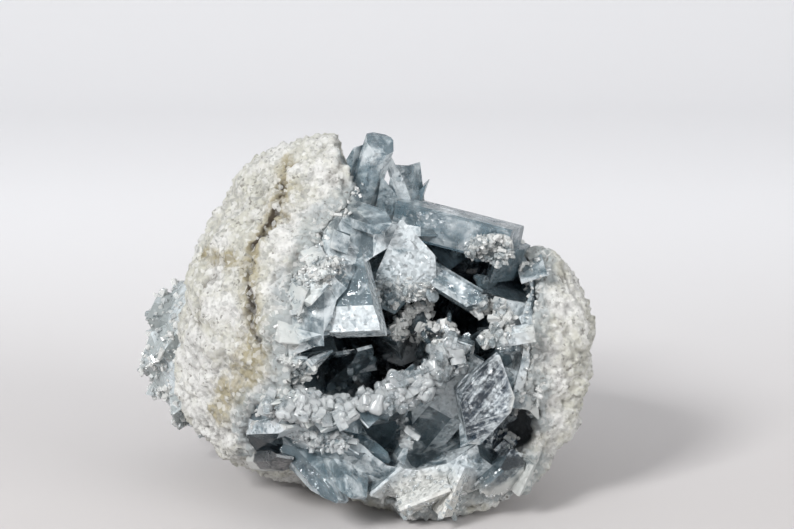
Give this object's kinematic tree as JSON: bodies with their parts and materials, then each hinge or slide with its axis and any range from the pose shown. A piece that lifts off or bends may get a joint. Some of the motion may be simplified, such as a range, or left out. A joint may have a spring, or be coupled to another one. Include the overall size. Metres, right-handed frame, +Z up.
{
  "type": "celestite geode",
  "caption": "Celestite geode: a lumpy nodule of pale host rock, broken open at the front, its hollow lined with pale blue tabular and prismatic crystals, with a crystal mass on its rear flank",
  "frame": {"origin": "on the small flat spot that the nodule stands on, under the nodule", "axes": "+X to the right of a viewer who looks into the opening, +Y away from that viewer into the nodule, +Z up"},
  "size_m": [0.1253, 0.0943, 0.1003],
  "materials": {
    "host_rock": "rough, granular, cream-white with grey specks and ochre stains",
    "celestite": "glassy, translucent pale blue-grey, white and sugary in places"
  },
  "bodies": {
    "root": {"host_rock": "host_rock", "crystal_crust": "celestite", "rear_crystals": "celestite"}
  },
  "joints": []
}
